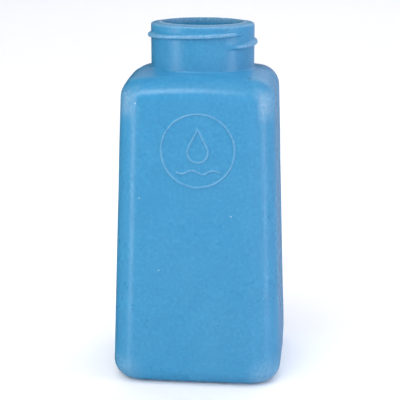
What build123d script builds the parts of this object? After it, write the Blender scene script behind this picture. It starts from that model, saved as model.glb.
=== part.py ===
from build123d import *

# Square bottle with an open screw neck, blow moulded in one piece from polyethylene.
#
# The origin is the centre of the base, on the plane that the bottle stands on. +Z is up and
# -Y is the front, the side with the raised emblem. The two halves of the mould met on the plane
# y = 0, so the parting line runs up the two side faces and the pinch-off seam crosses the base.

import os
from math import asin, ceil, cos, pi, radians, sin, sqrt

# Driving dimensions, in millimetres and degrees.

# Body: a square with slightly bowed sides, tapering from the base up to the shoulder.
base_width = 58.2              # across the flats, in the plane of the base
shoulder_width = 51.5          # across the flats, at the shoulder height
shoulder_height = 96.0         # where the sides give way to the shoulder
side_bow = 0.4                 # how far the middle of a side stands proud of its ends
base_corner_radius = 10.5      # plan radius of the upright corners, at the base
shoulder_corner_radius = 9.0   # and at the shoulder height
heel_radius = 5.8              # round between the sides and the base
shoulder_radius = 7.4          # round between the sides and the dome
body_wall = 1.3
floor_wall = 1.8

# Shoulder: a low dome, part of a sphere, that rises to the foot of the neck.
dome_radius = 150.0
neck_foot_height = 104.9       # where the neck leaves the dome

# Neck: a 38 mm single-turn screw finish (38-400).
neck_diameter = 34.8           # across the root of the thread
neck_height = 15.3
neck_foot_radius = 0.8
bore_diameter = 27.7
bore_foot_radius = 2.0         # where the bore opens into the shoulder
rim_rise = 0.5                 # the sealing rim climbs by this much towards the bore
rim_outer_chamfer = 0.35
rim_inner_chamfer = 0.25

# Thread: right-handed, one turn and a little more, sinking into the neck at both ends.
thread_pitch = 25.4 / 6
thread_depth = 1.1
thread_root_width = 2.7
thread_crest_width = 1.1
thread_crest_crown = 0.2       # how far the crest is rounded
thread_crest_drop = 0.3        # the crest sits this far below the middle of the root
thread_start_angle = -62.0     # from +X, seen from above
thread_sweep = 392.0           # run-outs included
thread_fade = 26.0             # length of each run-out
thread_end_drop = 2.85         # from the rim down to the crest at the thread's upper end
thread_step = 12.0             # from one section of the thread to the next
thread_bury = 0.6              # how far the thread's root reaches into the wall of the neck

# Base: a standing ring round a shallow push-up.
standing_ring = 3.6            # width of the ring that touches the table
push_up = 1.6                  # depth of the recess
push_up_slope = 1.6            # how far the recess narrows on its way up
push_up_corner_radius = 5.0
pinch_off_length = 32.0
pinch_off_width = 0.9
pinch_off_height = 0.6

# Parting line of the mould.
parting_width = 0.36
parting_height = 0.1

# Emblem: a ring that holds a drop above a wavy line.
emblem_relief = 0.3
emblem_line = 0.65             # width of its raised lines
emblem_height = 81.0           # of the middle of the ring
emblem_shift = 1.0             # of the middle of the ring, towards +X
emblem_diameter = 24.6
drop_height = 12.0
drop_diameter = 7.4
drop_lift = 1.8                # middle of the drop above the middle of the ring
wave_drop = 7.0                # wavy line below the middle of the ring
wave_length = 14.0
wave_rise = 0.6
wave_count = 2

# Worked out from the driving dimensions.
total_height = neck_foot_height + neck_height
neck_radius = neck_diameter / 2
bore_radius = bore_diameter / 2
dome_centre = neck_foot_height - sqrt(dome_radius**2 - neck_radius**2)
taper = (base_width - shoulder_width) / 2 / shoulder_height
corner_change = (shoulder_corner_radius - base_corner_radius) / shoulder_height
recess_half_width = base_width / 2 - heel_radius - standing_ring
overrun = 1.0                  # how far a cutting tool runs past the face that it opens

os.makedirs("parts", exist_ok=True)


def half_width_at(height):
    """Half the width across the flats at a height."""
    return base_width / 2 - taper * height


def corner_radius_at(height):
    """Plan radius of the upright corners at a height."""
    return base_corner_radius + corner_change * height


def bowed_square(height, half_width, corner_radius, inset=0.0):
    """Level section: four shallow arcs, filleted where they meet, all moved inwards by inset."""
    arc_radius = (half_width**2 + side_bow**2) / (2 * side_bow)
    arc_centre = arc_radius - half_width
    arc_radius -= inset
    middle = arc_radius - arc_centre
    corner = (sqrt(2 * arc_radius**2 - arc_centre**2) - arc_centre) / 2
    with BuildSketch(Plane.XY.offset(height)) as section:
        with BuildLine():
            ThreePointArc((corner, -corner), (middle, 0), (corner, corner))
            ThreePointArc((corner, corner), (0, middle), (-corner, corner))
            ThreePointArc((-corner, corner), (-middle, 0), (-corner, -corner))
            ThreePointArc((-corner, -corner), (0, -middle), (corner, -corner))
        make_face()
        fillet(section.vertices(), corner_radius - inset)
    return section.sketch


def side_section(height, inset):
    """Section of the tapered body at a height, moved inwards by inset."""
    return bowed_square(height, half_width_at(height), corner_radius_at(height), inset)


def bottle_form(inset, floor=0.0):
    """Closed form of body and shoulder, moved inwards by inset and standing on floor."""
    with BuildPart() as form:
        loft([side_section(floor, inset), side_section(total_height, inset)])
        with Locations((0, 0, dome_centre)):
            Sphere(dome_radius - inset, mode=Mode.INTERSECT)
        fillet(form.faces().sort_by(Axis.Z)[-1].edges(), shoulder_radius - inset)
        fillet(form.faces().sort_by(Axis.Z)[0].edges(), heel_radius - inset)
    return form.part


def push_up_form(bottom, spread=0.0):
    """The recess under the base, as a solid that narrows upwards from bottom."""
    with BuildPart() as form:
        loft([
            bowed_square(bottom, recess_half_width, push_up_corner_radius, -spread),
            bowed_square(bottom + push_up, recess_half_width - push_up_slope,
                         push_up_corner_radius, -spread),
        ])
        fillet(form.faces().sort_by(Axis.Z)[-1].edges(), push_up_slope)
    return form.part


def thread_section(angle):
    """Section of the thread at an angle along it; the crest sinks into the wall at both ends."""
    to_end = min(angle, thread_sweep - angle)
    share = min(1.0, to_end / thread_fade)
    height_share = sin(share * pi / 2) ** 2
    crest = (thread_depth + thread_bury / 2) * height_share - thread_bury / 2
    along = radians(thread_start_angle + angle)
    climb = thread_pitch * (angle - thread_sweep) / 360
    place = Plane(
        origin=(neck_radius * cos(along), neck_radius * sin(along),
                total_height - thread_end_drop + climb),
        x_dir=(cos(along), sin(along), 0),
        z_dir=(sin(along), -cos(along), 0),
    )
    root_top = thread_root_width / 2 + thread_crest_drop
    root_foot = root_top - thread_root_width
    half_crest = thread_crest_width / 2
    edge = crest - thread_crest_crown
    with BuildSketch(place) as section:
        with BuildLine():
            Line((-thread_bury, root_top), (-thread_bury, root_foot))
            Line((-thread_bury, root_foot), (edge, -half_crest))
            ThreePointArc((edge, -half_crest), (crest, 0), (edge, half_crest))
            Line((edge, half_crest), (-thread_bury, root_top))
        make_face()
    return section.sketch


def drop_face(inset):
    """Drop standing on its round end, centred on the origin, its outline moved inwards by inset."""
    radius = drop_diameter / 2
    tip = drop_height - radius
    flank = asin(radius / tip)
    with BuildSketch() as face:
        with Locations((0, radius - drop_height / 2)):
            Circle(radius - inset)
            touch = radius - inset
            Polygon((0, tip - inset / sin(flank)),
                    (-touch * cos(flank), touch * sin(flank)),
                    (touch * cos(flank), touch * sin(flank)), align=None)
    return face.sketch


def wave_face():
    """Wavy line of joined arcs, centred on the origin."""
    bend = wave_length / wave_count / 2
    with BuildSketch() as face:
        with BuildLine():
            for count in range(2 * wave_count):
                start = count * bend - wave_length / 2
                crest = wave_rise if count % 2 else -wave_rise
                ThreePointArc((start, 0), (start + bend / 2, crest), (start + bend, 0))
        trace(line_width=emblem_line)
    return face.sketch


with BuildPart() as thread:
    steps = ceil(thread_sweep / thread_step)
    loft([thread_section(thread_sweep * step / steps) for step in range(steps + 1)])

with BuildPart() as emblem:
    with BuildSketch(Plane.XZ.offset(base_width / 2 + overrun)):
        with Locations((emblem_shift, emblem_height)):
            Circle(emblem_diameter / 2)
            Circle(emblem_diameter / 2 - emblem_line, mode=Mode.SUBTRACT)
        with Locations((emblem_shift, emblem_height + drop_lift)):
            add(drop_face(0))
            add(drop_face(emblem_line), mode=Mode.SUBTRACT)
        with Locations((emblem_shift, emblem_height - wave_drop)):
            add(wave_face())
    extrude(amount=-base_width / 2)
    add(bottle_form(-emblem_relief), mode=Mode.INTERSECT)

with BuildPart() as parting_line:
    add(bottle_form(-parting_height))
    Cylinder(neck_radius + parting_height, total_height - rim_rise - rim_outer_chamfer,
             align=(Align.CENTER, Align.CENTER, Align.MIN))
    Box(2 * base_width, parting_width, 2 * total_height, mode=Mode.INTERSECT)

with BuildPart() as cavity:
    add(bottle_form(body_wall, floor_wall))
    add(push_up_form(floor_wall, floor_wall), mode=Mode.SUBTRACT)
    with Locations((0, 0, shoulder_height)):
        Cylinder(bore_radius, total_height + overrun - shoulder_height,
                 align=(Align.CENTER, Align.CENTER, Align.MIN))
    bore_foot = cavity.edges().filter_by(GeomType.CIRCLE).group_by(Axis.Z)[-2]
    fillet(bore_foot, bore_foot_radius)

with BuildPart() as bottle:
    add(bottle_form(0))
    add(push_up_form(0), mode=Mode.SUBTRACT)
    with BuildSketch(Plane.XZ) as neck_profile:
        with BuildLine():
            Polyline(
                (0, shoulder_height),
                (neck_radius, shoulder_height),
                (neck_radius, total_height - rim_rise - rim_outer_chamfer),
                (neck_radius - rim_outer_chamfer, total_height - rim_rise),
                (bore_radius + rim_inner_chamfer, total_height),
                (bore_radius, total_height - rim_inner_chamfer),
                (0, total_height - rim_inner_chamfer),
                close=True,
            )
        make_face()
    revolve(axis=Axis.Z)
    neck_foot = bottle.edges().filter_by(GeomType.CIRCLE).filter_by(
        lambda edge: abs(edge.center().Z - neck_foot_height) < neck_foot_radius)
    fillet(neck_foot, neck_foot_radius)
    add(parting_line.part)
    add(thread.part)
    add(emblem.part)
    with Locations((0, 0, push_up - pinch_off_height)):
        Box(pinch_off_length, pinch_off_width, pinch_off_height + floor_wall / 2,
            align=(Align.CENTER, Align.CENTER, Align.MIN))
    add(cavity.part, mode=Mode.SUBTRACT)

bottle.part.label = "bottle"
export_step(bottle.part, "parts/bottle.step")
print(f"brimful capacity {cavity.part.volume / 1000:.0f} ml")
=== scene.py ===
"""Square blow-moulded bottle with an open screw neck, in satin blue polyethylene."""

import logging
import math
from collections.abc import Callable
from dataclasses import dataclass, field
from enum import Enum
from typing import Any

import bmesh
import bpy
from mathutils import Matrix, Vector, noise


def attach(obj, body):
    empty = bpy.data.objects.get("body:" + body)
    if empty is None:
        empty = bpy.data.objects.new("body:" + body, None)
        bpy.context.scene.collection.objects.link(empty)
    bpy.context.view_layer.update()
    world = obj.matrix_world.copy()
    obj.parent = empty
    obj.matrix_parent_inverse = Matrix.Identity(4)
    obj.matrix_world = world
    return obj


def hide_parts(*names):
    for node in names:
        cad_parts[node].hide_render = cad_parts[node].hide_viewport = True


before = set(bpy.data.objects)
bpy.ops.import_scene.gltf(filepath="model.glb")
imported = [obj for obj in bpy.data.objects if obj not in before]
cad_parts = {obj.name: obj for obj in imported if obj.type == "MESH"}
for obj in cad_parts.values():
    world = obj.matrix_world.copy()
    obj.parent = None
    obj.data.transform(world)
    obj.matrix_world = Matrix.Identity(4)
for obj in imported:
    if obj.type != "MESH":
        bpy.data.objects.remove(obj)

MM = 0.001
LOG = logging.getLogger("bottle")

WEAR_AND_HIGHLIGHT = "wear_and_highlight"  # point attribute: how pale a raised line or edge is painted, for rubbing and for painted highlights
INNER = "inner"  # whole number on each point: 1 on the inner skin
FACING = 0.9  # a face looks along an axis when its normal's share on it is over this
ON_PLANE = 0.001 * MM  # a point this near to a plane is on it
SMOOTH = {"interpolation_type": "SMOOTHSTEP"}

Point = tuple[float, float]
Piece = bpy.types.Object
Tree = bpy.types.NodeTree
Node = bpy.types.Node
Output = bpy.types.NodeSocket
Vertex = bmesh.types.BMVert


class Kind(Enum):
    """The kind of mesh part that a selection is made of."""

    POINTS = "VERT"
    EDGES = "EDGE"
    FACES = "FACE"


# --- Small helpers ---


def linear(code: str) -> tuple[float, float, float, float]:
    """Turns an sRGB hex colour into the linear colour that the shader wants.

    Args:
        code: A # and six hex digits.

    Returns:
        Red, green, blue and an alpha of one.
    """
    shares = [int(code[start : start + 2], 16) / 255 for start in (1, 3, 5)]
    values = [
        share / 12.92 if share <= 0.04045 else ((share + 0.055) / 1.055) ** 2.4
        for share in shares
    ]
    return (values[0], values[1], values[2], 1.0)


def smooth_step(low: float, high: float, value: float) -> float:
    """Rises smoothly from 0 at low to 1 at high."""
    share = min(1.0, max(0.0, (value - low) / (high - low)))
    return share * share * (3 - 2 * share)


def arc_points(centre: Point, radius: float, start: float, end: float, steps: int) -> list[Point]:
    """Points along an arc, its start left out.

    Args:
        centre: Middle of the arc.
        radius: Its radius.
        start: Angle that it starts from, in degrees.
        end: Angle that it ends at, in degrees.
        steps: How many points to give.

    Returns:
        The points, in order, the last one at the end angle.
    """
    points = []
    for step in range(1, steps + 1):
        angle = math.radians(start + (end - start) * step / steps)
        points.append((centre[0] + radius * math.cos(angle), centre[1] + radius * math.sin(angle)))
    return points


def rounded_corner(start: Point, corner: Point, end: Point, steps: int) -> list[Point]:
    """Points of a soft edge between two straight runs, its start left out.

    Args:
        start: Where the first run ends.
        corner: Where the two runs would meet.
        end: Where the second run starts.
        steps: How many points to give.

    Returns:
        The points, in order, the last one at the end.
    """
    points = []
    for step in range(1, steps + 1):
        share = step / steps
        first = Vector(start).lerp(Vector(corner), share)
        place = first.lerp(Vector(corner).lerp(Vector(end), share), share)
        points.append((place.x, place.y))
    return points


def edit(piece: Piece) -> None:
    """Opens one piece for editing, with nothing else selected."""
    bpy.ops.object.select_all(action="DESELECT")
    piece.select_set(True)
    bpy.context.view_layer.objects.active = piece
    bpy.ops.object.mode_set(mode="EDIT")


def close(piece: Piece) -> None:
    """Goes back to object mode and leaves the piece's place in its mesh."""
    bpy.ops.object.mode_set(mode="OBJECT")
    bpy.ops.object.transform_apply(location=True, rotation=True, scale=True)
    piece.select_set(False)


def select(piece: Piece, kind: Kind, test: Callable[[Any], bool]) -> None:
    """Selects the parts of one kind that pass a test, and nothing else.

    Args:
        piece: The piece, open for editing.
        kind: Points, edges or faces.
        test: Says of a part whether to select it.
    """
    bpy.ops.mesh.select_mode(type=kind.value)
    bpy.ops.mesh.select_all(action="DESELECT")
    mesh = bmesh.from_edit_mesh(piece.data)
    parts = {Kind.POINTS: mesh.verts, Kind.EDGES: mesh.edges, Kind.FACES: mesh.faces}[kind]
    for part in [part for part in parts if test(part)]:
        part.select_set(True)
    mesh.select_flush_mode()
    bmesh.update_edit_mesh(piece.data)


def move_points(
    piece: Piece, test: Callable[[Vertex], bool], place: Callable[[Vertex], Vector]
) -> None:
    """Moves the points that pass a test to new places.

    Args:
        piece: The piece, open for editing.
        test: Says of a point whether to move it.
        place: Gives a point's new place.
    """
    mesh = bmesh.from_edit_mesh(piece.data)
    moves = [(point, place(point)) for point in mesh.verts if test(point)]
    for point, target in moves:
        point.co = target
    mesh.normal_update()
    bmesh.update_edit_mesh(piece.data)


def is_outer(piece: Piece) -> Callable[[Vertex], bool]:
    """Gives a test of whether a point of the piece, open for editing, is on its outer skin."""
    layer = bmesh.from_edit_mesh(piece.data).verts.layers.int[INNER]
    return lambda point: point[layer] == 0


def extrude(move: tuple[float, float, float] = (0.0, 0.0, 0.0)) -> None:
    """Extrudes what is selected and moves the new part."""
    bpy.ops.mesh.extrude_region_move(TRANSFORM_OT_translate={"value": move})


def inset(thickness: float, depth: float = 0.0) -> None:
    """Insets the selected face by a width and moves the new one out by a depth."""
    bpy.ops.mesh.inset(thickness=thickness, depth=depth, use_even_offset=True)


def add_node(tree: Tree, kind: str, inputs: dict[Any, Any], **settings: Any) -> Node:
    """Adds a shader node.

    Args:
        tree: The node tree to add to.
        kind: The node's type name, without the ShaderNode that it starts with.
        inputs: What goes into each input, by its name or number: another node's output, or a value.
        settings: The node's attributes, by name.

    Returns:
        The node.
    """
    node = tree.nodes.new("ShaderNode" + kind)
    for name, value in settings.items():
        setattr(node, name, value)
    for name, value in inputs.items():
        if isinstance(value, Output):
            tree.links.new(value, node.inputs[name])
        else:
            node.inputs[name].default_value = value
    return node


def new_material(name: str) -> tuple[bpy.types.Material, Tree, Output]:
    """Starts a material.

    Args:
        name: The material's name.

    Returns:
        The material, its empty node tree, and the place on the piece that its patterns follow.
    """
    material = bpy.data.materials.new(name)
    material.use_nodes = True
    tree = material.node_tree
    tree.nodes.clear()
    return material, tree, add_node(tree, "TexCoord", {}).outputs["Object"]


# --- Finishes ---


@dataclass(frozen=True)
class SatinPolyethylene:
    """High-density polyethylene, blow moulded against a sand-blasted mould.

    The blasted mould leaves an even satin grain, so highlights are wide and soft. The pigment
    isn't mixed perfectly, which gives a faint mottle, and a little light goes into the wall.
    """

    name: str = "blow_moulded_blue_polyethylene"
    colour: str = "#3D94C1"
    deep_colour: str = "#388AB9"
    pale_colour: str = "#499EC9"
    # pale colour for scuffs and specks, also painted as highlights on the rim's edges and the
    # corners
    scuff_and_highlight_colour: str = "#C2DAE8"
    speck_colour: str = "#1F5C84"
    roughness: float = 0.30
    ior: float = 1.54
    specular: float = 0.5
    translucence: float = 0.12
    light_reach: float = 1.4 * MM  # how far light travels inside the wall
    mottle: float = 9 * MM  # across one cloud of the pigment
    mottle_share: float = 0.16
    handled: float = 21.6 * MM  # across a patch that hands have made smoother or duller
    grain: float = 0.55 * MM  # the blasted grain is 0.1 mm; drawn coarser, so that it shows
    grain_depth: float = 0.028 * MM
    colour_grain: float = 0.99 * MM  # the pigment's grain is 0.05 mm; drawn coarser too
    grain_share: float = 0.6
    scuff_and_highlight_patch: float = 0.77 * MM  # patches that break up the scuffs and the painted highlights; scratches are 0.1 mm wide, drawn coarser too
    ripple: float = 7 * MM  # slow unevenness of a wall that cooled in air
    ripple_depth: float = 0.05 * MM
    streak: float = 1.6 * MM  # die lines, left by the nozzle
    streak_length: float = 60 * MM
    speck_spacing: float = 8 * MM
    speck_radius: float = 0.32 * MM
    speck_share: float = 0.75

    def material(self) -> bpy.types.Material:
        """Makes the material.

        Returns:
            The material.
        """
        material, tree, place = new_material(self.name)
        colour = linear(self.colour)
        for share, other in (
            *self._pigment(tree, place),
            *self._specks(tree, place),
            # scuffs on raised lines, and painted highlights on the rim's edges and the corners
            (self._rubbing_and_highlight_share(tree, place), self.scuff_and_highlight_colour),
        ):
            mixed = {0: share, 6: colour, 7: linear(other)}
            colour = add_node(tree, "Mix", mixed, data_type="RGBA").outputs[2]
        finish = {
            "Base Color": colour,
            "Roughness": self._roughness(tree, place),
            "Normal": self._normal(tree, place),
            "IOR": self.ior,
            "Specular IOR Level": self.specular,
            "Subsurface Weight": self.translucence,
            "Subsurface Radius": (0.4, 0.8, 1.0),
            "Subsurface Scale": self.light_reach,
        }
        shader = add_node(tree, "BsdfPrincipled", finish)
        add_node(tree, "OutputMaterial", {"Surface": shader.outputs["BSDF"]})
        return material

    def _cloud(self, place: Any, size: float, detail: float) -> dict[str, Any]:
        """What goes into a noise node for clouds about as wide as size."""
        return {"Vector": place, "Scale": 1 / size, "Detail": detail, "Roughness": 0.55}

    def _pigment(self, tree: Tree, place: Any) -> list[tuple[Output, str]]:
        """Shares of the deep and the pale colour, in wide clouds and in a fine grain."""
        mottle = add_node(tree, "TexNoise", self._cloud(place, self.mottle, 1.0))
        grain = add_node(tree, "TexNoise", self._cloud(place, self.colour_grain, 2.0))
        layers = []
        for pattern, low, high, most, colour in (
            (mottle, 0.55, 0.25, self.mottle_share, self.deep_colour),
            (mottle, 0.45, 0.75, self.mottle_share, self.pale_colour),
            (grain, 0.50, 0.70, self.grain_share, self.pale_colour),
            (grain, 0.50, 0.30, self.grain_share, self.deep_colour),
        ):
            ends = {0: pattern.outputs["Fac"], 1: low, 2: high, 4: most}
            share = add_node(tree, "MapRange", ends, **SMOOTH).outputs[0]
            layers.append((share, colour))
        return layers

    def _specks(self, tree: Tree, place: Any) -> list[tuple[Output, str]]:
        """Shares of the dark and the pale specks."""
        spacing = {"Vector": place, "Scale": 1 / self.speck_spacing}
        cells = add_node(tree, "TexVoronoi", spacing)
        edge = self.speck_radius / self.speck_spacing
        ends = {0: cells.outputs["Distance"], 1: edge, 2: 0.6 * edge, 4: self.speck_share}
        near = add_node(tree, "MapRange", ends, **SMOOTH).outputs[0]
        draw = add_node(tree, "SeparateXYZ", {0: cells.outputs["Color"]}).outputs[0]
        chosen = add_node(tree, "MapRange", {0: draw, 1: 0.45, 2: 0.5}, **SMOOTH).outputs[0]
        pale = add_node(tree, "Math", {0: near, 1: chosen}, operation="MULTIPLY").outputs[0]
        dark = add_node(tree, "Math", {0: near, 1: pale}, operation="SUBTRACT").outputs[0]
        return [(dark, self.speck_colour), (pale, self.scuff_and_highlight_colour)]

    def _rubbing_and_highlight_share(self, tree: Tree, place: Any) -> Output:
        """Share of the scuffed colour: rubbing on raised lines, and painted highlights on edges and
        corners.
        """
        wear_and_highlight = add_node(tree, "Attribute", {}, attribute_name=WEAR_AND_HIGHLIGHT)
        patches = add_node(tree, "TexNoise", self._cloud(place, self.scuff_and_highlight_patch, 2.0))
        ends = {0: patches.outputs["Fac"], 1: 0.35, 2: 0.65, 3: 0.35, 4: 1.0}
        broken = add_node(tree, "MapRange", ends, **SMOOTH)
        both = {0: wear_and_highlight.outputs["Fac"], 1: broken.outputs[0]}
        return add_node(tree, "Math", both, operation="MULTIPLY").outputs[0]

    def _roughness(self, tree: Tree, place: Any) -> Output:
        """Roughness that varies a little with the grain and with handling."""
        patch = add_node(tree, "TexNoise", self._cloud(place, self.handled, 4.0))
        low, high = self.roughness - 0.05, self.roughness + 0.06
        ends = {0: patch.outputs["Fac"], 1: 0.3, 2: 0.7, 3: low, 4: high}
        return add_node(tree, "MapRange", ends, **SMOOTH).outputs[0]

    def _normal(self, tree: Tree, place: Any) -> Output:
        """Blasted grain over slow ripples and faint die lines."""
        flat = {"Vector": place, "Scale": (1.0, 1.0, self.streak / self.streak_length)}
        along = add_node(tree, "Mapping", flat).outputs[0]
        below = {}
        for depth, cloud in (
            (self.ripple_depth, self._cloud(place, self.ripple, 2.0)),
            (self.grain_depth / 2, self._cloud(along, self.streak, 2.0)),
            (self.grain_depth, self._cloud(place, self.grain, 3.0)),
        ):
            height = add_node(tree, "TexNoise", cloud).outputs["Fac"]
            relief = {"Distance": depth, "Strength": 1.0, "Height": height}
            below = {"Normal": add_node(tree, "Bump", relief | below).outputs[0]}
        return below["Normal"]


@dataclass(frozen=True)
class StudioPaper:
    """Seamless white photographer's paper: uncoated, so it has no gloss."""

    name: str = "white_studio_paper"
    colour: str = "#F9F9F9"
    fibre: float = 3 * MM
    fibre_depth: float = 0.02 * MM
    roughness: float = 0.9
    glow: float = 0.08  # light that comes up through the paper from a light table

    def material(self) -> bpy.types.Material:
        """Makes the material.

        Returns:
            The material.
        """
        material, tree, place = new_material(self.name)
        scale = {"Vector": place, "Scale": 1 / self.fibre}
        fibres = add_node(tree, "TexNoise", scale).outputs["Fac"]
        relief = {"Distance": self.fibre_depth, "Height": fibres}
        finish = {
            "Base Color": linear(self.colour),
            "Roughness": self.roughness,
            "Specular IOR Level": 0.1,
            "Emission Color": (1.0, 1.0, 1.0, 1.0),
            "Emission Strength": self.glow,
            "Normal": add_node(tree, "Bump", relief).outputs[0],
        }
        shader = add_node(tree, "BsdfPrincipled", finish)
        add_node(tree, "OutputMaterial", {"Surface": shader.outputs["BSDF"]})
        return material


# --- The bottle's parts ---


@dataclass
class Dome:
    """The low dome between the shoulder and the neck, part of a sphere."""

    radius: float = 150 * MM
    neck_foot_height: float = 104.9 * MM
    neck_radius: float = 17.4 * MM

    @property
    def centre(self) -> float:
        """Height of the sphere's centre."""
        return self.neck_foot_height - math.sqrt(self.radius**2 - self.neck_radius**2)

    def height(self, reach: float, inset: float = 0.0) -> float:
        """Height of the dome at a distance from the axis, on a sphere smaller by inset."""
        return self.centre + math.sqrt((self.radius - inset) ** 2 - reach**2)


@dataclass
class Body:
    """Base, four tapered sides and shoulder, as an outer and an inner skin."""

    dome: Dome = field(default_factory=Dome)
    base_width: float = 58.2 * MM
    shoulder_width: float = 51.5 * MM
    shoulder_height: float = 96 * MM
    side_bow: float = 0.4 * MM
    corner_radius: float = 10.4 * MM
    heel_radius: float = 5.8 * MM
    shoulder_radius: float = 7.4 * MM
    foot_reach: float = 18.103 * MM  # where the round at the foot of the neck starts
    wall: float = 1.3 * MM
    standing_ring: float = 3.6 * MM
    push_up: float = 1.6 * MM
    recess_corner: float = 5 * MM
    recess_edge: float = 0.5 * MM  # round between the standing ring and the recess
    recess_round: float = 1.6 * MM  # round between the recess's slope and its ceiling
    corner_steps: int = 16
    side_steps: int = 32
    heel_steps: int = 10
    shoulder_steps: int = 14
    recess_edge_steps: int = 4
    recess_round_steps: int = 5
    dome_steps: int = 5
    side_rows: int = 76
    inner_rows: int = 8

    @property
    def taper(self) -> float:
        """Angle by which the sides lean inwards."""
        return math.atan((self.base_width - self.shoulder_width) / 2 / self.shoulder_height)

    @property
    def side_foot(self) -> float:
        """Height where the heel's round runs into the side."""
        return self.heel_radius * (1 + math.sin(self.taper))

    @property
    def side_top(self) -> float:
        """Height where the middle of a side runs into the shoulder's round."""
        return self.ball_height(self.ball_reach) + self.shoulder_radius * math.sin(self.taper)

    @property
    def ball_reach(self) -> float:
        """From the axis to the middle of the shoulder's round, at the middle of a side."""
        height = self.shoulder_height
        reach = self.half_width(height)
        for _ in range(4):
            reach = self.half_width(height) - self.shoulder_radius * math.cos(self.taper)
            height = self.ball_height(reach) + self.shoulder_radius * math.sin(self.taper)
        return reach

    def ball_height(self, reach: float) -> float:
        """Height of the middle of the shoulder's round at a distance from the axis."""
        return self.dome.height(reach, self.shoulder_radius)

    def half_width(self, height: float) -> float:
        """Half the width across the flats at a height."""
        return self.base_width / 2 - math.tan(self.taper) * height

    def build(self) -> Piece:
        """Makes the outer skin and the inner skin, open at the foot of the neck.

        Returns:
            The piece, in object mode.
        """
        piece = self._outline()
        self._sides()
        self._base(piece)
        self._shoulder(piece)
        self._dome(piece)
        self._inner_skin(piece)
        close(piece)
        return piece

    def _outline(self) -> Piece:
        """Lays down the level section at the foot of the sides.

        Returns:
            The piece, open for editing, with its one face selected.
        """
        foot = self.side_foot
        half = self.half_width(foot)
        bpy.ops.object.select_all(action="DESELECT")
        bpy.ops.mesh.primitive_plane_add(size=2 * half, location=(0, 0, foot))
        piece = bpy.context.object
        piece.name = piece.data.name = "bottle_moulding"
        bpy.ops.object.transform_apply(location=True, rotation=True, scale=True)
        edit(piece)
        bpy.ops.mesh.select_all(action="SELECT")
        steps = self.corner_steps
        bpy.ops.mesh.bevel(offset=self.corner_radius, segments=steps, affect="VERTICES")
        select(piece, Kind.EDGES, lambda edge: edge.calc_length() > self.corner_radius)
        bpy.ops.mesh.subdivide(number_cuts=self.side_steps - 1)
        bulge = self.side_bow / half**3

        def bowed(point: Vertex) -> Vector:
            """Draws the ends of the sides in, so that their middles stand proud."""
            across, along, height = point.co
            return Vector((across * (1 - bulge * along**2), along * (1 - bulge * across**2), height))

        move_points(piece, lambda point: True, bowed)
        select(piece, Kind.FACES, lambda face: True)
        return piece

    def _sides(self) -> None:
        """Draws the section up to the shoulder and narrows it."""
        extrude((0, 0, self.side_top - self.side_foot))
        narrow = self.half_width(self.side_top) / self.half_width(self.side_foot)
        middle = (0, 0, self.side_top)
        bpy.ops.transform.resize(value=(narrow, narrow, 1), center_override=middle)
        bpy.ops.mesh.select_all(action="SELECT")
        bpy.ops.mesh.normals_make_consistent(inside=False)

    def _round_over(self, radius: float, start: float, end: float, steps: int) -> None:
        """Insets the selected face along a round.

        Args:
            radius: Radius of the round, negative where it is hollow.
            start: Angle that it starts from, in radians; 0 faces sideways, a right angle up.
            end: Its angle at the last step.
            steps: How many insets.
        """
        for step in range(steps):
            first = start + (end - start) * step / steps
            second = start + (end - start) * (step + 1) / steps
            width = radius * (math.cos(first) - math.cos(second))
            inset(width, radius * (math.sin(second) - math.sin(first)))

    def _outward(self, place: Vector, flat: float) -> Vector:
        """Level direction away from a side or a corner.

        Args:
            place: A point on a level section.
            flat: Half the length of the section's straight sides.

        Returns:
            A direction of length one.
        """
        out = Vector((max(abs(place.x) - flat, 0), max(abs(place.y) - flat, 0))).normalized()
        return Vector((math.copysign(out.x, place.x), math.copysign(out.y, place.y)))

    def _base(self, piece: Piece) -> None:
        """Makes the heel, the standing ring and the recess in the base."""
        select(piece, Kind.FACES, lambda face: face.normal.z < -FACING)
        self._round_over(self.heel_radius, -self.taper, math.pi / 2, self.heel_steps)
        ring = self.standing_ring - self.recess_edge * math.tan(math.pi / 8)
        for share in (0.25, 0.25, 0.5):
            inset(share * ring)
        flat = self.half_width(self.side_foot) - self.corner_radius
        half = self.base_width / 2 - self.heel_radius - ring
        new_flat = half - self.recess_corner

        def round_corner(point: Vertex) -> Vector:
            """Moves a point onto the recess's edge."""
            along = [min(flat, max(-flat, share)) * new_flat / flat for share in point.co.xy]
            place = Vector(along) + self._outward(point.co, flat) * self.recess_corner
            return Vector((place.x, place.y, point.co.z))

        move_points(piece, lambda point: point.select, round_corner)
        slope = math.pi / 4
        self._round_over(-self.recess_edge, -math.pi / 2, -slope, self.recess_edge_steps)
        rounds = (self.recess_edge + self.recess_round) * (1 - math.cos(slope))
        run = self.push_up - rounds
        inset(run, -run)
        self._round_over(self.recess_round, -slope, -math.pi / 2, self.recess_round_steps)
        bpy.ops.mesh.delete(type="ONLY_FACE")
        select(piece, Kind.EDGES, lambda edge: edge.is_boundary)
        bpy.ops.mesh.fill_grid(span=self.corner_steps + self.side_steps)

    def _shoulder(self, piece: Piece) -> None:
        """Rounds the shoulder over and lets its corners down onto the dome."""
        select(piece, Kind.FACES, lambda face: face.normal.z > FACING and len(face.verts) > 4)
        lean = math.asin(self.ball_reach / (self.dome.radius - self.shoulder_radius))
        end = math.pi / 2 - lean
        self._round_over(self.shoulder_radius, self.taper, end, self.shoulder_steps)
        bpy.ops.mesh.delete(type="ONLY_FACE")
        middle = self.ball_height(self.ball_reach)
        narrow = self.half_width(self.side_top) / self.half_width(self.side_foot)
        flat = narrow * (self.half_width(self.side_foot) - self.corner_radius)

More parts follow.
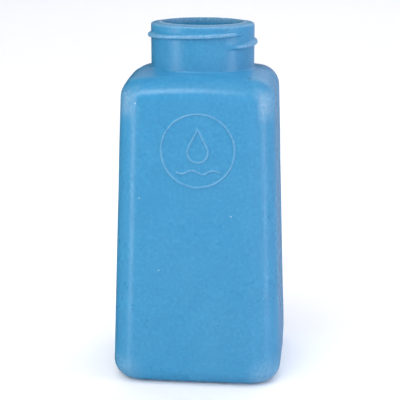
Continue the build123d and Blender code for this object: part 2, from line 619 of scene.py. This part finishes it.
        def lower(point: Vertex) -> Vector:
            """Lets a point of the round down with the dome under it."""
            place = Vector(point.co)
            rise = min(1.0, max(-1.0, (place.z - middle) / self.shoulder_radius))
            depth = self.shoulder_radius * math.sqrt(1 - rise**2)
            ball = place.xy - self._outward(place, flat) * depth
            place.z += self.ball_height(ball.length) - middle
            return place

        move_points(piece, lambda point: point.co.z > self.side_top - 0.1 * MM, lower)

    def _dome(self, piece: Piece) -> None:
        """Draws the shoulder's open edge in to the round foot of the neck."""
        select(piece, Kind.EDGES, lambda edge: edge.is_boundary)
        for step in range(self.dome_steps):
            share = 1 / (self.dome_steps - step)

            def inwards(point: Vertex, share: float = share) -> Vector:
                """Takes a point part of the way to the neck, along the dome."""
                target = point.co.xy.normalized() * self.foot_reach
                level = point.co.xy.lerp(target, share)
                return Vector((level.x, level.y, self.dome.height(level.length)))

            extrude()
            move_points(piece, lambda point: point.select, inwards)

    def _inner_skin(self, piece: Piece) -> None:
        """Copies the outer skin inwards by the wall, then cuts both skins into rows."""
        bmesh.from_edit_mesh(piece.data).verts.layers.int.new(INNER)
        bpy.ops.mesh.select_all(action="SELECT")
        bpy.ops.mesh.normals_make_consistent(inside=False)
        bpy.ops.mesh.duplicate()
        bpy.ops.transform.shrink_fatten(value=-self.wall, use_even_offset=True)
        bpy.ops.mesh.flip_normals()
        mesh = bmesh.from_edit_mesh(piece.data)
        layer = mesh.verts.layers.int[INNER]
        for point in mesh.verts:
            point[layer] = int(point.select)
        bmesh.update_edit_mesh(piece.data)
        long = self.shoulder_height / 2

        def cut_sides(wanted: bool, rows: int) -> None:
            """Cuts the edges that run up the sides of one skin into rows."""
            outer = is_outer(piece)
            select(
                piece,
                Kind.EDGES,
                lambda edge: edge.calc_length() > long and outer(edge.verts[0]) == wanted,
            )
            bpy.ops.mesh.subdivide(number_cuts=rows - 1)

        cut_sides(False, self.inner_rows)
        cut_sides(True, self.side_rows)


@dataclass
class Neck:
    """Neck with its sealing rim and bore."""

    dome: Dome = field(default_factory=Dome)
    height: float = 15.3 * MM
    foot_radius: float = 0.8 * MM
    bore_radius: float = 13.85 * MM
    bore_foot_radius: float = 2 * MM
    rim_rise: float = 0.5 * MM
    rim_outer_edge: float = 0.45 * MM
    rim_inner_edge: float = 0.3 * MM
    wall: float = 1.3 * MM
    thread_foot: float = 6.3 * MM  # the screw thread starts this far above the neck's foot
    fine_row: float = 0.12 * MM
    plain_row: float = 0.6 * MM

    @property
    def top(self) -> float:
        """Height of the rim's inner edge."""
        return self.dome.neck_foot_height + self.height

    def profile(self) -> list[Point]:
        """Distance from the axis and height of each ring, from the dome round to the inside.

        Returns:
            The rings in order, the dome's own left out.
        """
        outer = self.dome.neck_radius
        foot = outer + self.foot_radius
        foot_height = self.dome.height(foot, -self.foot_radius)
        down = math.degrees(math.atan2(foot_height - self.dome.centre, foot))
        rings = arc_points((foot, foot_height), self.foot_radius, 180 + down, 180, 6)
        low = self.dome.neck_foot_height + self.thread_foot
        rings += self._straight((outer, foot_height), (outer, low), self.plain_row)
        corner = (outer, self.top - self.rim_rise)
        high = (outer, corner[1] - self.rim_outer_edge)
        rings += self._straight((outer, low), high, self.fine_row)
        land = (outer - self.rim_outer_edge, corner[1] + 0.06 * MM)
        rings += rounded_corner(high, corner, land, 6)
        brink = (self.bore_radius + self.rim_inner_edge, self.top - 0.02 * MM)
        rings += self._straight(land, brink, self.plain_row)
        inside = (self.bore_radius, self.top - self.rim_inner_edge)
        rings += rounded_corner(brink, (self.bore_radius, self.top + 0.03 * MM), inside, 6)
        opening = self.bore_radius + self.bore_foot_radius
        opening_height = self.dome.height(opening, self.wall - self.bore_foot_radius)
        rings += self._straight(inside, (self.bore_radius, opening_height), 3 * self.plain_row)
        down = math.degrees(math.atan2(opening_height - self.dome.centre, opening))
        rings += arc_points((opening, opening_height), self.bore_foot_radius, 180, 180 + down, 7)
        return rings

    def _straight(self, start: Point, end: Point, row: float) -> list[Point]:
        """Rings of a straight run, no further apart than row, the first left out."""
        count = math.ceil(math.dist(start, end) / row)
        run = ((end[0] - start[0]) / count, (end[1] - start[1]) / count)
        return [(start[0] + run[0] * step, start[1] + run[1] * step) for step in range(1, count + 1)]

    def build(self, piece: Piece) -> None:
        """Draws the neck up out of the dome, turns it in and joins it to the inner skin.

        Args:
            piece: The bottle, with both its skins open at the foot of the neck.
        """
        edit(piece)
        outer = is_outer(piece)
        select(piece, Kind.EDGES, lambda edge: edge.is_boundary and outer(edge.verts[0]))
        mesh = bmesh.from_edit_mesh(piece.data)
        first = next(point for point in mesh.verts if point.select)
        reach, level = first.co.xy.length, first.co.z
        for ring_reach, ring_level in self.profile():
            extrude((0, 0, ring_level - level))
            scale = ring_reach / reach
            if abs(scale - 1) > 1e-9:
                middle = (0, 0, ring_level)
                bpy.ops.transform.resize(value=(scale, scale, 1), center_override=middle)
            reach, level = ring_reach, ring_level
        select(piece, Kind.EDGES, lambda edge: edge.is_boundary)
        bpy.ops.mesh.bridge_edge_loops()
        close(piece)


@dataclass
class Thread:
    """Right-handed screw thread, one turn and a little more."""

    top: float = 120.2 * MM
    neck_radius: float = 17.4 * MM
    pitch: float = 25.4 * MM / 6
    depth: float = 1.1 * MM
    crest: float = 0.42 * MM  # half the width of the crest
    upper_flank: float = 1.3 * MM  # from the middle of the crest to the flank's foot
    lower_flank: float = 0.95 * MM
    crown: float = 0.08 * MM
    start_angle: float = -62.0
    sweep: float = 392.0
    fade: float = 26.0
    end_drop: float = 2.85 * MM

    def rise(self, place: Vector) -> float:
        """How far the thread stands out of the neck at a place on it.

        Args:
            place: A point on the wall of the neck.

        Returns:
            The height of the thread there, 0 beside it.
        """
        turn = math.degrees(math.atan2(place.y, place.x)) - self.start_angle
        best = 0.0
        for along in (turn % 360, turn % 360 + 360):
            if along > self.sweep:
                continue
            to_end = min(1.0, min(along, self.sweep - along) / self.fade)
            middle = self.top - self.end_drop + self.pitch * (along - self.sweep) / 360
            above = place.z - middle
            foot = self.upper_flank if above > 0 else self.lower_flank
            share = 1 - smooth_step(self.crest, foot, abs(above))
            crown = self.crown * min(1.0, abs(above) / self.crest) ** 2
            best = max(best, (self.depth - crown) * share * smooth_step(0, 1, to_end))
        return best

    def build(self, piece: Piece) -> None:
        """Raises the thread on the neck."""
        edit(piece)
        low = self.top - self.end_drop - self.pitch * self.sweep / 360 - self.upper_flank

        def on_neck(point: Vertex) -> bool:
            """Says whether a point is on the wall of the neck, high enough for the thread."""
            return point.co.z > low and abs(point.co.xy.length - self.neck_radius) < 0.15 * MM

        def out(point: Vertex) -> Vector:
            """Moves a point of the neck out onto the thread."""
            return point.co + (point.co.xy.normalized() * self.rise(point.co)).to_3d()

        move_points(piece, on_neck, out)
        close(piece)


@dataclass
class MouldMarks:
    """Marks that the two mould halves leave: a parting line and a pinched-off seam."""

    line_half_width: float = 0.18 * MM
    line_height: float = 0.1 * MM
    line_foot: float = 1.2 * MM
    line_fade: float = 0.5 * MM  # the ridge starts flush and rises over this
    line_top: float = 119.2 * MM
    line_reach: float = 16 * MM  # it stays outside this distance from the axis
    seam_length: float = 32 * MM
    seam_width: float = 0.9 * MM
    seam_height: float = 0.6 * MM
    recess_depth: float = 1.6 * MM

    def build(self, piece: Piece) -> None:
        """Adds both marks to the bottle."""
        self._parting_line(piece)
        self._seam(piece)

    def _parting_line(self, piece: Piece) -> None:
        """Raises a fine ridge up both side faces, over the shoulder and up the neck."""
        edit(piece)

        def on_line(point: Vertex, foot: float = self.line_foot) -> bool:
            """Says whether a point is on the plane where the mould halves met, outside."""
            place = point.co
            on_plane = abs(place.y) < ON_PLANE and abs(place.x) > self.line_reach
            return on_plane and foot < place.z < self.line_top and outer(point)

        outer = is_outer(piece)
        select(piece, Kind.EDGES, lambda edge: all(on_line(point) for point in edge.verts))
        bpy.ops.mesh.bevel(offset=self.line_half_width, segments=2, affect="EDGES")
        outer = is_outer(piece)
        raised = self.line_foot + self.line_fade
        select(piece, Kind.POINTS, lambda point: on_line(point, raised))
        bpy.ops.transform.shrink_fatten(value=self.line_height)
        close(piece)

    def _seam(self, piece: Piece) -> None:
        """Raises the pinched-off seam in the recess under the base."""
        edit(piece)
        half = self.seam_length / 2

        def near(place: Vector, reach: float) -> bool:
            """Says whether a place is on the recess's ceiling, within reach of the seam."""
            return abs(place.z - self.recess_depth) < 0.05 * MM and abs(place.y) < reach

        def to_cut(face: bmesh.types.BMFace) -> bool:
            """Says whether a face of the ceiling is cut finely."""
            middle = face.calc_center_median()
            return near(middle, 1.1 * MM) and abs(middle.x) < half and outer(face.verts[0])

        outer = is_outer(piece)
        select(piece, Kind.FACES, to_cut)
        bpy.ops.mesh.subdivide(number_cuts=3, ngon=True)
        outer = is_outer(piece)

        def down(point: Vertex) -> Vector:
            """Lets a point of the ceiling down onto the seam."""
            ragged = 0.25 * noise.noise(point.co / (1.3 * MM))
            side = self.seam_width / 2 * (1 + 0.5 * ragged)
            share = 1 - smooth_step(0.45 * side, 1.15 * side, abs(point.co.y))
            share *= 1 - smooth_step(half - 3 * MM, half - 0.5 * MM, abs(point.co.x))
            return point.co - Vector((0, 0, self.seam_height * share * (0.85 + ragged)))

        move_points(piece, lambda point: near(point.co, 0.8 * MM) and outer(point), down)
        close(piece)


@dataclass
class Emblem:
    """Raised mark on the front: a ring that holds a drop above a wavy line."""

    relief: float = 0.3 * MM
    line: float = 0.65 * MM
    softness: float = 0.16 * MM
    wide_reach: float = 1.35 * MM  # the face is cut finer this near to a line
    close_reach: float = 0.72 * MM  # and finer still this near
    height: float = 81 * MM
    shift: float = 1 * MM
    diameter: float = 24.6 * MM
    drop_height: float = 12 * MM
    drop_diameter: float = 7.4 * MM
    drop_lift: float = 1.8 * MM
    wave_drop: float = 7 * MM
    wave_length: float = 14 * MM
    wave_rise: float = 0.6 * MM
    wave_count: int = 2

    def distance(self, place: Vector) -> float:
        """Distance on the front face from the middle of the nearest line of the mark."""
        across = place.x - self.shift
        up = place.z - self.height
        return min(self._to_ring(across, up), self._to_drop(across, up), self._to_wave(across, up))

    def _to_ring(self, across: float, up: float) -> float:
        """Distance to the ring."""
        return abs(math.hypot(across, up) - (self.diameter - self.line) / 2)

    def _to_drop(self, across: float, up: float) -> float:
        """Distance to the drop's outline: a round belly and two straight flanks."""
        radius = self.drop_diameter / 2
        tip = self.drop_height - radius
        flank = math.asin(radius / tip)
        across = abs(across)
        up = up - self.drop_lift + self.drop_height / 2 - radius
        radius -= self.line / 2
        touch = Vector((radius * math.cos(flank), radius * math.sin(flank)))
        point = Vector((0, tip - self.line / 2 / math.sin(flank)))
        run = point - touch
        share = (Vector((across, up)) - touch).dot(run) / run.length_squared
        if share < 0:
            return abs(math.hypot(across, up) - radius)
        nearest = touch + run * min(1.0, share)
        return (Vector((across, up)) - nearest).length

    def _to_wave(self, across: float, up: float) -> float:
        """Distance to the wavy line."""
        half = self.wave_length / 2
        past = max(0.0, abs(across) - half)
        held = min(half, max(-half, across))
        rate = 2 * math.pi * self.wave_count / self.wave_length
        level = -self.wave_rise * math.sin(rate * (held + half))
        slope = self.wave_rise * rate * math.cos(rate * (held + half))
        return math.hypot(past, (up + self.wave_drop - level) / math.hypot(1, slope))

    def build(self, piece: Piece) -> None:
        """Cuts the front face finely along the mark's lines and raises them."""
        edit(piece)

        def on_front(place: Vector, normal: Vector, point: Vertex) -> bool:
            """Says whether a place is on the outside of the front face, near the mark."""
            level = abs(place.z - self.height) < self.diameter
            return normal.y < -FACING and place.y < 0 and level and outer(point)

        for cuts, reach in ((2, self.wide_reach), (3, self.close_reach)):
            outer = is_outer(piece)

            def near(face: bmesh.types.BMFace, reach: float = reach) -> bool:
                """Says whether a face of the front is within reach of a line."""
                middle = face.calc_center_median()
                front = on_front(middle, face.normal, face.verts[0])
                return front and self.distance(middle) < reach

            select(piece, Kind.FACES, near)
            bpy.ops.mesh.subdivide(number_cuts=cuts, ngon=True)
        outer = is_outer(piece)
        half = self.line / 2

        def forward(point: Vertex) -> Vector:
            """Moves a point of the front forwards onto the mark."""
            past = self.distance(point.co) - half
            share = 1 - smooth_step(-self.softness, self.softness, past)
            return point.co + Vector((0, -self.relief * share, 0))

        move_points(piece, lambda point: on_front(point.co, point.normal, point), forward)
        close(piece)


@dataclass
class RubbingAndHighlight:
    """How pale edges and raised lines are painted, as shares of the scuffed colour: rubbing on the
    mark and the thread, painted highlights on the rim and the corners, with scuffs at the heel too.
    """

    # bore, brink and rim: painted highlights along the rim's inner and outer edges
    bore: float = 0.5
    brink: float = 0.9
    rim: float = 0.3
    crest: float = 0.3
    mark: float = 0.27
    # heel: scuffs, and a painted highlight on the heel corners; shoulder: a painted highlight on the
    # shoulder corners
    heel: float = 0.22
    shoulder: float = 0.4

    def on_rim(self, inside: float, outside: float) -> float:
        """Painted highlight on the rim's edges, at distances out from the bore and in from the
        neck's wall.
        """
        return max(
            self.bore * (1 - smooth_step(0.5 * MM, 0.9 * MM, inside)),
            self.brink * (1 - smooth_step(0.2 * MM, 0.5 * MM, abs(inside - 0.5 * MM))),
            self.rim * (1 - smooth_step(0.15 * MM, 0.6 * MM, abs(outside - 0.35 * MM))),
        )

    def on_corner(self, place: Vector) -> float:
        """Paleness of the upright corners: scuffs and a painted highlight at the heel, a painted
        highlight at the shoulder.
        """
        corner = smooth_step(16 * MM, 24 * MM, min(abs(place.x), abs(place.y)))
        low = 1 - smooth_step(4 * MM, 12 * MM, place.z)
        high = smooth_step(89 * MM, 95 * MM, place.z)
        high *= 1 - smooth_step(98 * MM, 102 * MM, place.z)
        return corner * max(self.heel * low, self.shoulder * high)


@dataclass
class Bottle:
    """The whole bottle: one moulding, in one finish."""

    body: Body = field(default_factory=Body)
    neck: Neck = field(default_factory=Neck)
    thread: Thread = field(default_factory=Thread)
    marks: MouldMarks = field(default_factory=MouldMarks)
    emblem: Emblem = field(default_factory=Emblem)
    rubbing_and_highlight: RubbingAndHighlight = field(default_factory=RubbingAndHighlight)
    finish: SatinPolyethylene = field(default_factory=SatinPolyethylene)
    unevenness: float = 0.07 * MM  # a blown wall is never quite true
    unevenness_size: float = 16 * MM
    sharp_angle: float = 50.0

    def build(self) -> Piece:
        """Makes the bottle.

        Returns:
            The finished piece.
        """
        piece = self.body.build()
        self.neck.build(piece)
        self.marks.build(piece)
        self.thread.build(piece)
        self.emblem.build(piece)
        self._mark_rubbing_and_highlight(piece)
        self._unevenness(piece)
        self._tidy(piece)
        return piece

    def _mark_rubbing_and_highlight(self, piece: Piece) -> None:
        """Notes on each point of the outer skin how pale it is painted, for rubbing and for painted
        highlights.
        """
        edit(piece)
        mesh = bmesh.from_edit_mesh(piece.data)
        wear_and_highlight = mesh.verts.layers.float.new(WEAR_AND_HIGHLIGHT)
        outer = is_outer(piece)
        for point in mesh.verts:
            if outer(point):
                point[wear_and_highlight] = self._point_rubbing_and_highlight(point)
        bmesh.update_edit_mesh(piece.data)
        close(piece)

    def _point_rubbing_and_highlight(self, point: Vertex) -> float:
        """How pale a point of the outer skin is painted, from 0 to 1, for rubbing and for painted
        highlights.
        """
        place = point.co
        out = place.xy.length - self.thread.neck_radius
        rim = self.neck.top - self.neck.rim_rise
        if place.z > rim - self.neck.rim_outer_edge:
            # painted highlight along the rim's edges
            return self.rubbing_and_highlight.on_rim(place.xy.length - self.neck.bore_radius, -out)
        if out > 0.2 * MM and place.z > self.body.dome.neck_foot_height:
            depth = self.thread.depth
            return self.rubbing_and_highlight.crest * smooth_step(depth / 2, depth, out)
        front = place.y < 0 and point.normal.y < -FACING
        if front and abs(place.z - self.emblem.height) < self.emblem.diameter:
            half = self.emblem.line / 2
            distance = self.emblem.distance(place)
            return self.rubbing_and_highlight.mark * (1 - smooth_step(0.8 * half, 1.5 * half, distance))
        # scuffs and painted highlight at the heel corners, painted highlight at the shoulder corners
        return self.rubbing_and_highlight.on_corner(place)

    def _unevenness(self, piece: Piece) -> None:
        """Moves the sides and shoulder in and out a little, as a blown wall is."""
        edit(piece)
        foot, top = self.body.side_foot, self.body.dome.neck_foot_height

        def shift(point: Vertex) -> Vector:
            """Moves a point along its level direction."""
            place = point.co
            share = smooth_step(foot / 2, 2 * foot, place.z)
            share *= 1 - smooth_step(top - 4 * MM, top - 1 * MM, place.z)
            slow = noise.noise(place / self.unevenness_size)
            slower = noise.noise(place / (2.6 * self.unevenness_size) + Vector((7, 3, 5)))
            out = place.xy.normalized().to_3d()
            return place + out * share * self.unevenness * (slow + 1.6 * slower)

        move_points(piece, lambda point: foot / 2 < point.co.z < top, shift)
        close(piece)

    def _tidy(self, piece: Piece) -> None:
        """Merges doubles, points the faces outwards and shades the piece smooth."""
        edit(piece)
        bpy.ops.mesh.select_all(action="SELECT")
        bpy.ops.mesh.remove_doubles(threshold=0.001 * MM)
        bpy.ops.mesh.normals_make_consistent(inside=False)
        close(piece)
        piece.select_set(True)
        bpy.ops.object.shade_smooth_by_angle(angle=math.radians(self.sharp_angle))
        piece.select_set(False)

    def dress(self, piece: Piece) -> None:
        """Gives the piece its finish and its place in the frame."""
        piece.data.materials.clear()
        piece.data.materials.append(self.finish.material())
        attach(piece, "root")
        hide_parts("bottle")


# --- The studio ---


@dataclass(frozen=True)
class Softbox:
    """A flat rectangular lamp behind white cloth.

    Angles are seen from the bottle: azimuth 0 is in front of it and 90 on its right, +X.
    """

    name: str
    azimuth: float
    elevation: float
    distance: float
    width: float
    height: float
    power: float
    colour: str = "#FFFFFF"
    mirrored: bool = True  # whether glossy surfaces show it
    on_floor: bool = True  # whether its light falls on the floor too

    def build(self, aim: Vector) -> Piece:
        """Puts the lamp up, facing a point.

        Args:
            aim: The point that the lamp faces.

        Returns:
            The lamp.
        """
        turn, lift = math.radians(self.azimuth), math.radians(self.elevation)
        level = Vector((math.sin(turn), -math.cos(turn), 0)) * math.cos(lift)
        away = level + Vector((0, 0, math.sin(lift)))
        lamp = bpy.data.lights.new(self.name, "AREA")
        lamp.shape = "RECTANGLE"
        lamp.size = self.width
        lamp.size_y = self.height
        lamp.energy = self.power
        lamp.color = linear(self.colour)[:3]
        holder = bpy.data.objects.new(self.name, lamp)
        bpy.context.scene.collection.objects.link(holder)
        holder.visible_glossy = self.mirrored
        holder.location = aim + away * self.distance
        holder.rotation_euler = (-away).to_track_quat("-Z", "Y").to_euler()
        return holder


@dataclass
class Camera:
    """A long lens a little to the right of the front and above it."""

    yaw: float = 4.907
    pitch: float = 14.45
    roll: float = 0.30
    distance: float = 392.49 * MM
    aim_across: float = 6.098 * MM
    aim_height: float = 57.993 * MM
    lens: float = 100.84
    sensor: float = 36.0
    shift: float = -0.05

    def build(self) -> None:
        """Sets the camera up and makes it the scene's camera."""
        yaw, pitch, roll = (math.radians(angle) for angle in (self.yaw, self.pitch, self.roll))
        turn = Matrix.Rotation(yaw, 4, "Z")
        axes = turn @ Matrix.Rotation(math.pi / 2 - pitch, 4, "X") @ Matrix.Rotation(roll, 4, "Z")
        place = Vector((0, 0, self.aim_height)) + turn.col[0].xyz * self.aim_across
        place += axes.col[2].xyz * self.distance
        data = bpy.data.cameras.new("camera")
        data.sensor_fit = "HORIZONTAL"
        data.sensor_width = self.sensor
        data.lens = self.lens
        data.shift_x = self.shift
        data.clip_start = 10 * MM
        data.clip_end = 20.0
        camera = bpy.data.objects.new("camera", data)
        bpy.context.scene.collection.objects.link(camera)
        camera.matrix_world = Matrix.Translation(place) @ axes
        bpy.context.scene.camera = camera


@dataclass
class Studio:
    """Pale floor, even room light and a few softboxes."""

    floor_size: float = 8.0
    aim: tuple[float, float, float] = (0.0, 0.0, 60 * MM)
    room_colour: str = "#E4E6FF"
    room_left: float = 0.04  # brightness of the room on the bottle's left
    room_right: float = 0.58  # and on its right, where its window is
    paper: StudioPaper = field(default_factory=StudioPaper)
    backdrop_aim: tuple[float, float, float] = (0.0, 1.25, 0.0)
    backdrop_lamp: Softbox = Softbox("softbox_backdrop", 180, 80, 1.4, 2.6, 2.4, 26.0)
    lamps: tuple[Softbox, ...] = (
        Softbox("softbox_key", -22, 40, 1.2, 0.7, 0.35, 3.8),
        Softbox("softbox_top", -5, 66, 1.2, 0.8, 0.8, 2.8, mirrored=False),
        Softbox("softbox_left", -76, 51, 1.0, 0.25, 0.3, 0.5),
        Softbox("softbox_right", 76, 51, 1.0, 0.25, 0.3, 0.35),
        Softbox("softbox_back", 180, 30, 1.5, 1.6, 0.8, 1.9, on_floor=False),
        Softbox("strip_left", -55, 8, 0.9, 0.14, 1.0, 1.9),
        Softbox("strip_right", 73, 8, 0.9, 0.14, 1.0, 1.4),
    )

    def build(self, piece: Piece) -> None:
        """Lays the floor, sets the room's light and puts the lamps up.

        Args:
            piece: The piece that stands in the studio.
        """
        floor = self._floor()
        self._room()
        for softbox in self.lamps:
            lamp = softbox.build(Vector(self.aim))
            if not softbox.on_floor:
                self._only_on(lamp, piece)
        self._only_on(self.backdrop_lamp.build(Vector(self.backdrop_aim)), floor)

    def _only_on(self, lamp: Piece, lit: Piece) -> None:
        """Keeps a lamp's light to one object."""
        group = bpy.data.collections.new("lit_by_" + lamp.name)
        group.objects.link(lit)
        lamp.light_linking.receiver_collection = group

    def _floor(self) -> Piece:
        """Lays the floor, which isn't part of the object.

        Returns:
            The floor.
        """
        bpy.ops.object.select_all(action="DESELECT")
        bpy.ops.mesh.primitive_plane_add(size=self.floor_size, location=(0, 0, 0))
        floor = bpy.context.object
        floor.name = "studio_floor"
        floor.data.materials.append(self.paper.material())
        floor.visible_glossy = False
        floor.select_set(False)
        return floor

    def _room(self) -> None:
        """Sets the even light that comes from all sides."""
        world = bpy.data.worlds.new("white_room")
        world.use_nodes = True
        bpy.context.scene.world = world
        tree = world.node_tree
        way = add_node(tree, "TexCoord", {}).outputs["Generated"]
        across = add_node(tree, "SeparateXYZ", {0: way}).outputs["X"]
        ends = {0: across, 1: -0.2, 2: 0.3, 3: self.room_left, 4: self.room_right}
        strength = add_node(tree, "MapRange", ends, **SMOOTH).outputs[0]
        background = tree.nodes["Background"]
        background.inputs["Color"].default_value = linear(self.room_colour)
        tree.links.new(strength, background.inputs["Strength"])
        bpy.context.scene.view_settings.view_transform = "Standard"


def main() -> None:
    """Builds the bottle, the studio and the camera."""
    logging.basicConfig(level=logging.INFO, format="%(name)s: %(message)s")
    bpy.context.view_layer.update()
    bottle = Bottle()
    piece = bottle.build()
    bottle.dress(piece)
    LOG.info("%s: %d faces", piece.name, len(piece.data.polygons))
    Studio().build(piece)
    Camera().build()
    LOG.info("studio and camera are up")
    bpy.context.view_layer.update()


if __name__ == "__main__":
    main()
